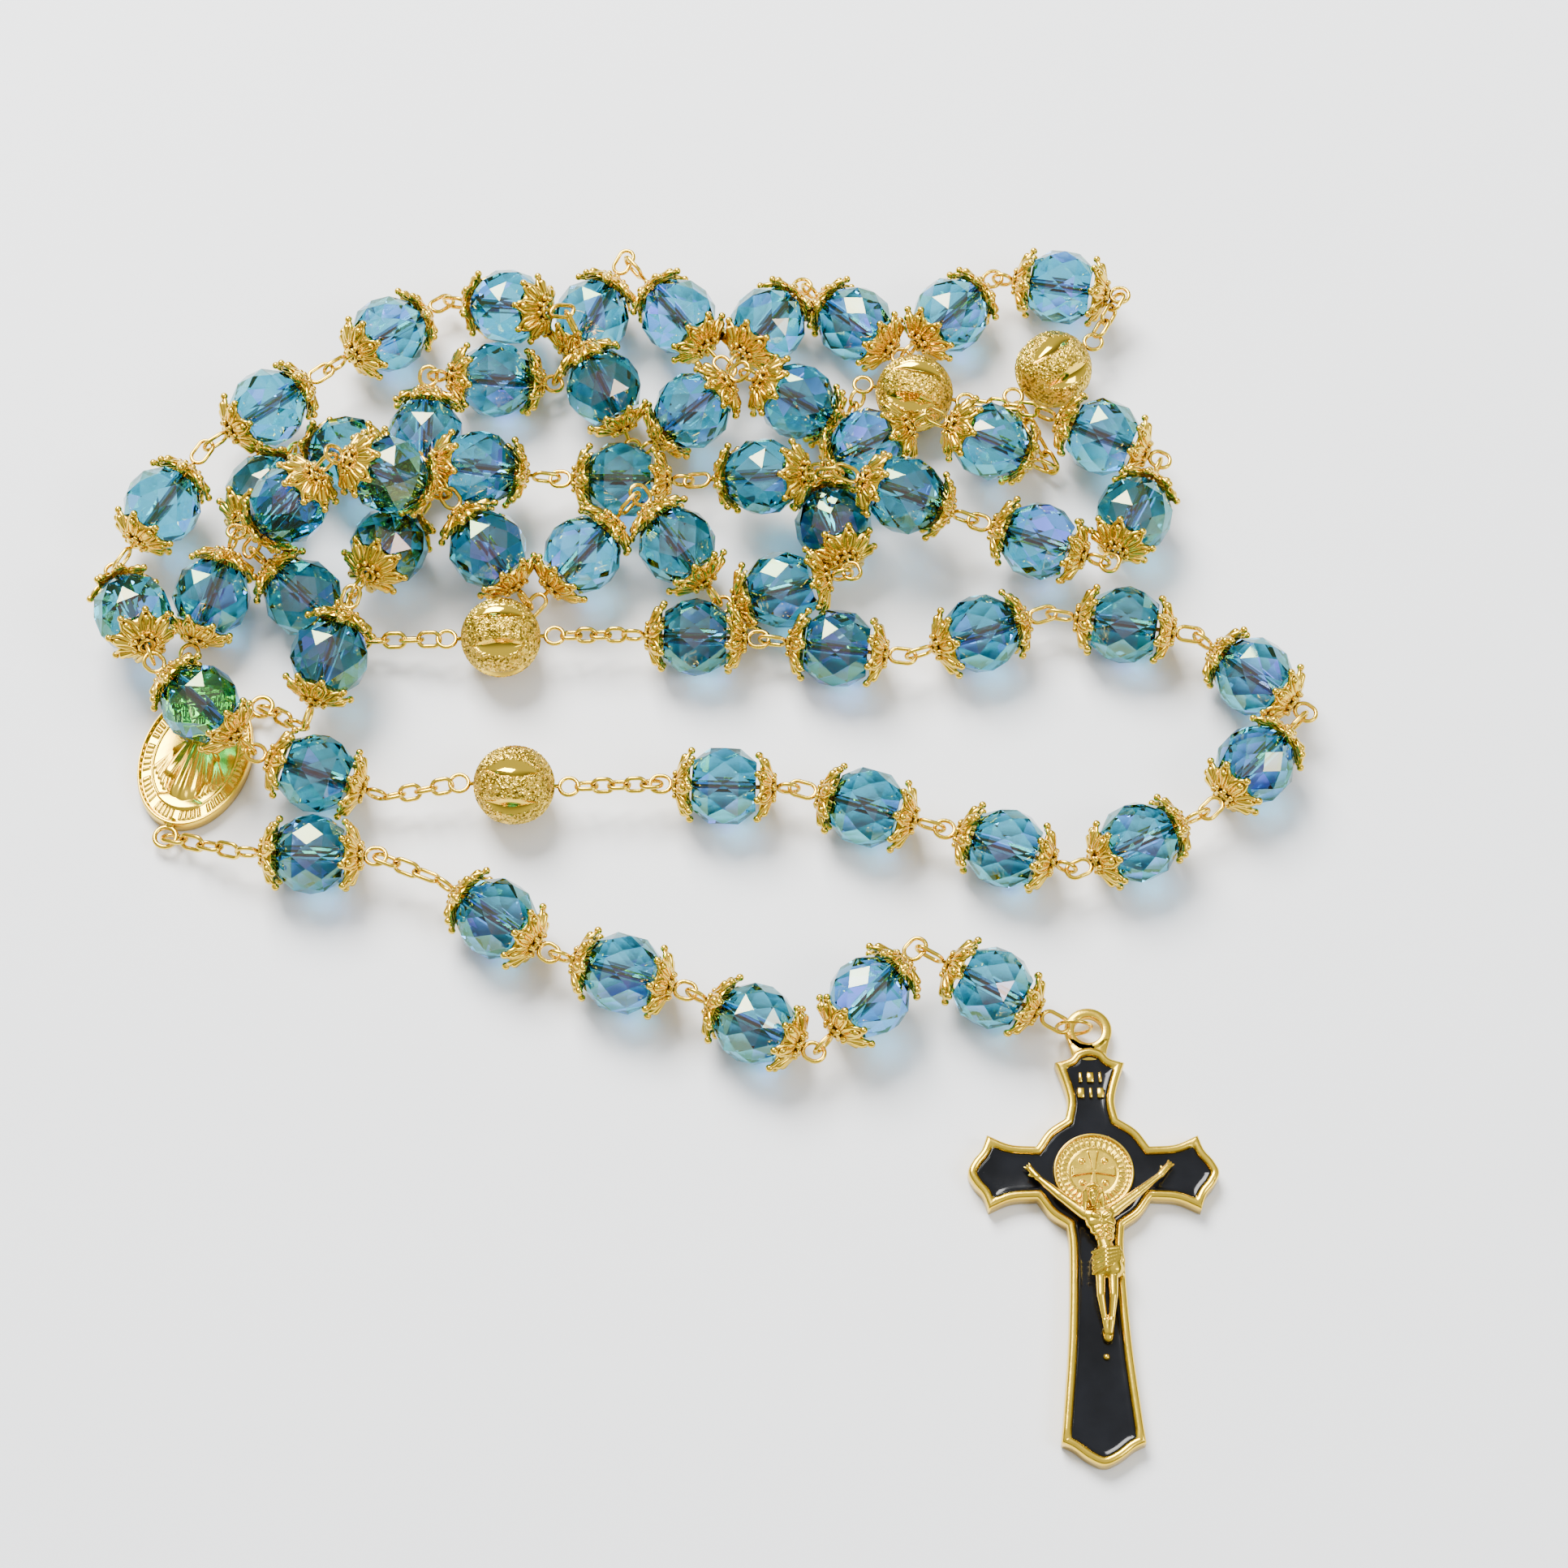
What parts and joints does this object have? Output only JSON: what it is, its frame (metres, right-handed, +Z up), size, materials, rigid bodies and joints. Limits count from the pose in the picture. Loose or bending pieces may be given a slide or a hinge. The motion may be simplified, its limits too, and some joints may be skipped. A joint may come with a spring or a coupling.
{
  "type": "rosary",
  "caption": "Rosary with faceted blue glass beads, gold filigree caps and chain, a centre medal and a crucifix inlaid with black enamel, laid out flat.",
  "frame": {"origin": "on the surface the rosary lies on, under the middle of its outline", "axes": "+Z up from the surface, -Y towards the foot of the crucifix, +X towards the bight of the loop"},
  "size_m": [0.1248, 0.1326, 0.0171],
  "materials": {
    "gold": "polished gold plate",
    "glass": "polished cut glass",
    "enamel": "glossy black enamel"
  },
  "bodies": {
    "layout": {"centre_medal": "gold", "medal_chain": "gold", "medal_jump_ring": "gold", "decade_1_first_five": "glass", "decade_1_last_five": "glass", "decade_2_first_five": "glass", "decade_2_last_five": "glass", "decade_4_first_five": "glass", "decade_4_last_five": "glass", "decade_5_first_five": "glass", "decade_5_last_five": "glass", "gold_ball_pin_1": "gold", "gold_ball_pin_2": "gold", "gold_ball_pin_3": "gold", "gold_ball_pin_4": "gold"},
    "ball_1": {"gold_ball_1": "gold"},
    "ball_2": {"gold_ball_2": "gold"},
    "ball_3": {"gold_ball_3": "gold"},
    "ball_4": {"gold_ball_4": "gold"},
    "bight_upper": {"decade_3_pin_1": "gold", "decade_3_pin_2": "gold", "decade_3_pin_3": "gold", "decade_3_pin_4": "gold", "decade_3_pin_5": "gold", "decade_3_pin_6": "gold"},
    "bight_lower": {"decade_3_pin_7": "gold", "decade_3_pin_8": "gold", "decade_3_pin_9": "gold", "decade_3_pin_10": "gold"},
    "bight_bead_1": {"decade_3_glass_1": "glass"},
    "bight_bead_2": {"decade_3_glass_2": "glass"},
    "bight_bead_3": {"decade_3_glass_3": "glass"},
    "bight_bead_4": {"decade_3_glass_4": "glass"},
    "bight_bead_5": {"decade_3_glass_5": "glass"},
    "bight_bead_6": {"decade_3_glass_6": "glass"},
    "bight_bead_7": {"decade_3_glass_7": "glass"},
    "bight_bead_8": {"decade_3_glass_8": "glass"},
    "bight_bead_9": {"decade_3_glass_9": "glass"},
    "bight_bead_10": {"decade_3_glass_10": "glass"},
    "tail_upper_chain": {"tail_chain_upper": "gold"},
    "tail_link_1": {"tail_pin_1": "gold"},
    "tail_lower_chain": {"tail_chain_lower": "gold"},
    "tail_link_2": {"tail_pin_2": "gold"},
    "tail_link_3": {"tail_pin_3": "gold"},
    "tail_link_4": {"tail_pin_4": "gold"},
    "tail_link_5": {"tail_pin_5": "gold"},
    "tail_link_6": {"tail_pin_6": "gold"},
    "jump_ring": {"crucifix_jump_ring": "gold"},
    "crucifix": {"crucifix_frame": "gold", "crucifix_enamel": "enamel", "crucifix_figure": "gold"},
    "tail_bead_1": {"tail_glass_1": "glass"},
    "tail_bead_2": {"tail_glass_2": "glass"},
    "tail_bead_3": {"tail_glass_3": "glass"},
    "tail_bead_4": {"tail_glass_4": "glass"},
    "tail_bead_5": {"tail_glass_5": "glass"},
    "tail_bead_6": {"tail_glass_6": "glass"}
  },
  "joints": [
    {"name": "gold_ball_1_spin", "type": "hinge", "parent": "layout", "child": "ball_1", "pos_m": [0.03676, 0.05205, 0.004], "axis": [-0.788, -0.6157, 0], "continuous": true},
    {"name": "gold_ball_2_spin", "type": "hinge", "parent": "layout", "child": "ball_2", "pos_m": [-0.02084, 0.01975, 0.004], "axis": [0.9994, 0.0349, 0], "continuous": true},
    {"name": "gold_ball_3_spin", "type": "hinge", "parent": "layout", "child": "ball_3", "pos_m": [-0.01894, 0.00295, 0.004], "axis": [-0.9994, 0.0349, 0], "continuous": true},
    {"name": "gold_ball_4_spin", "type": "hinge", "parent": "layout", "child": "ball_4", "pos_m": [0.02196, 0.04905, 0.004], "axis": [0.9816, -0.1908, 0], "continuous": true},
    {"name": "bight_upper_swing", "type": "hinge", "parent": "layout", "child": "bight_upper", "pos_m": [-0.00834, 0.02005, 0.004], "axis": [0, 0, 1], "range_deg": [-2, 0]},
    {"name": "bight_lower_swing", "type": "hinge", "parent": "layout", "child": "bight_lower", "pos_m": [-0.00434, 0.00305, 0.004], "axis": [0, 0, 1], "range_deg": [-2, 0]},
    {"name": "bight_bead_1_spin", "type": "hinge", "parent": "bight_upper", "child": "bight_bead_1", "pos_m": [-0.00086, 0.01978, 0.004], "axis": [0.9994, -0.0357, 0], "continuous": true},
    {"name": "bight_bead_2_spin", "type": "hinge", "parent": "bight_upper", "child": "bight_bead_2", "pos_m": [0.01363, 0.01849, 0.004], "axis": [0.9912, -0.1322, 0], "continuous": true},
    {"name": "bight_bead_3_spin", "type": "hinge", "parent": "bight_upper", "child": "bight_bead_3", "pos_m": [0.02836, 0.02021, 0.004], "axis": [0.9454, 0.326, 0], "continuous": true},
    {"name": "bight_bead_4_spin", "type": "hinge", "parent": "bight_upper", "child": "bight_bead_4", "pos_m": [0.04313, 0.02122, 0.004], "axis": [0.9864, -0.1644, 0], "continuous": true},
    {"name": "bight_bead_5_spin", "type": "hinge", "parent": "bight_upper", "child": "bight_bead_5", "pos_m": [0.05603, 0.01525, 0.004], "axis": [0.774, -0.6332, 0], "continuous": true},
    {"name": "bight_bead_6_spin", "type": "hinge", "parent": "bight_upper", "child": "bight_bead_6", "pos_m": [0.05558, 0.00521, 0.004], "axis": [-0.6905, -0.7234, 0], "continuous": true},
    {"name": "bight_bead_7_spin", "type": "hinge", "parent": "bight_lower", "child": "bight_bead_7", "pos_m": [0.04348, -0.00341, 0.004], "axis": [-0.901, -0.4338, 0], "continuous": true},
    {"name": "bight_bead_8_spin", "type": "hinge", "parent": "bight_lower", "child": "bight_bead_8", "pos_m": [0.03021, -0.00404, 0.004], "axis": [-0.945, 0.3271, 0], "continuous": true},
    {"name": "bight_bead_9_spin", "type": "hinge", "parent": "bight_lower", "child": "bight_bead_9", "pos_m": [0.01646, 0.00044, 0.004], "axis": [-0.9551, 0.2964, 0], "continuous": true},
    {"name": "bight_bead_10_spin", "type": "hinge", "parent": "bight_lower", "child": "bight_bead_10", "pos_m": [0.00218, 0.00282, 0.004], "axis": [-0.9994, 0.0357, 0], "continuous": true},
    {"name": "tail_chain_upper_swing", "type": "hinge", "parent": "layout", "child": "tail_upper_chain", "pos_m": [-0.05405, -0.00153, 0.0012], "axis": [0, 0, 1], "range_deg": [-35, 0]},
    {"name": "tail_bead_1_swing", "type": "hinge", "parent": "tail_upper_chain", "child": "tail_link_1", "pos_m": [-0.04634, -0.00445, 0.004], "axis": [0, 0, -1], "range_deg": [0, 30]},
    {"name": "tail_chain_lower_swing", "type": "hinge", "parent": "tail_link_1", "child": "tail_lower_chain", "pos_m": [-0.03234, -0.00495, 0.004], "axis": [0, 0, 1], "range_deg": [-30, 0]},
    {"name": "tail_bead_2_swing", "type": "hinge", "parent": "tail_lower_chain", "child": "tail_link_2", "pos_m": [-0.02634, -0.00745, 0.004], "axis": [0, 0, -1], "range_deg": [-3, 25]},
    {"name": "tail_bead_3_swing", "type": "hinge", "parent": "tail_link_2", "child": "tail_link_3", "pos_m": [-0.01484, -0.01545, 0.004], "axis": [0, 0, 1], "range_deg": [-25, 3]},
    {"name": "tail_bead_4_swing", "type": "hinge", "parent": "tail_link_3", "child": "tail_link_4", "pos_m": [-0.00134, -0.01945, 0.004], "axis": [0, 0, -1], "range_deg": [-5, 25]},
    {"name": "tail_bead_5_swing", "type": "hinge", "parent": "tail_link_4", "child": "tail_link_5", "pos_m": [0.01116, -0.02595, 0.004], "axis": [0, 0, 1], "range_deg": [-25, 5]},
    {"name": "tail_bead_6_swing", "type": "hinge", "parent": "tail_link_5", "child": "tail_link_6", "pos_m": [0.02116, -0.01545, 0.0055], "axis": [0, 0, -1], "range_deg": [-20, 10]},
    {"name": "crucifix_ring_swing", "type": "hinge", "parent": "tail_link_6", "child": "jump_ring", "pos_m": [0.03506, -0.02255, 0.003], "axis": [0, 0, 1], "range_deg": [-30, 15]},
    {"name": "crucifix_swing", "type": "hinge", "parent": "jump_ring", "child": "crucifix", "pos_m": [0.03798, -0.02255, 0.00125], "axis": [0, 0, -1], "range_deg": [-30, 30]},
    {"name": "tail_bead_1_spin", "type": "hinge", "parent": "tail_link_1", "child": "tail_bead_1", "pos_m": [-0.03886, -0.00472, 0.004], "axis": [0.9994, -0.0357, 0], "continuous": true},
    {"name": "tail_bead_2_spin", "type": "hinge", "parent": "tail_link_2", "child": "tail_bead_2", "pos_m": [-0.0202, -0.01172, 0.004], "axis": [0.8209, -0.5711, 0], "continuous": true},
    {"name": "tail_bead_3_spin", "type": "hinge", "parent": "tail_link_3", "child": "tail_bead_3", "pos_m": [-0.00764, -0.01758, 0.004], "axis": [0.9588, -0.2841, 0], "continuous": true},
    {"name": "tail_bead_4_spin", "type": "hinge", "parent": "tail_link_4", "child": "tail_bead_4", "pos_m": [0.00533, -0.02292, 0.004], "axis": [0.8872, -0.4614, 0], "continuous": true},
    {"name": "tail_bead_5_spin", "type": "hinge", "parent": "tail_link_5", "child": "tail_bead_5", "pos_m": [0.01649, -0.02036, 0.0048], "axis": [0.686, 0.7203, 0.1029], "continuous": true},
    {"name": "tail_bead_6_spin", "type": "hinge", "parent": "tail_link_6", "child": "tail_bead_6", "pos_m": [0.02853, -0.01921, 0.00417], "axis": [0.8793, -0.4492, -0.1582], "continuous": true}
  ],
  "couplings": [
    {"joint": "bight_lower_swing", "follows": "bight_upper_swing", "ratio": 1}
  ]
}
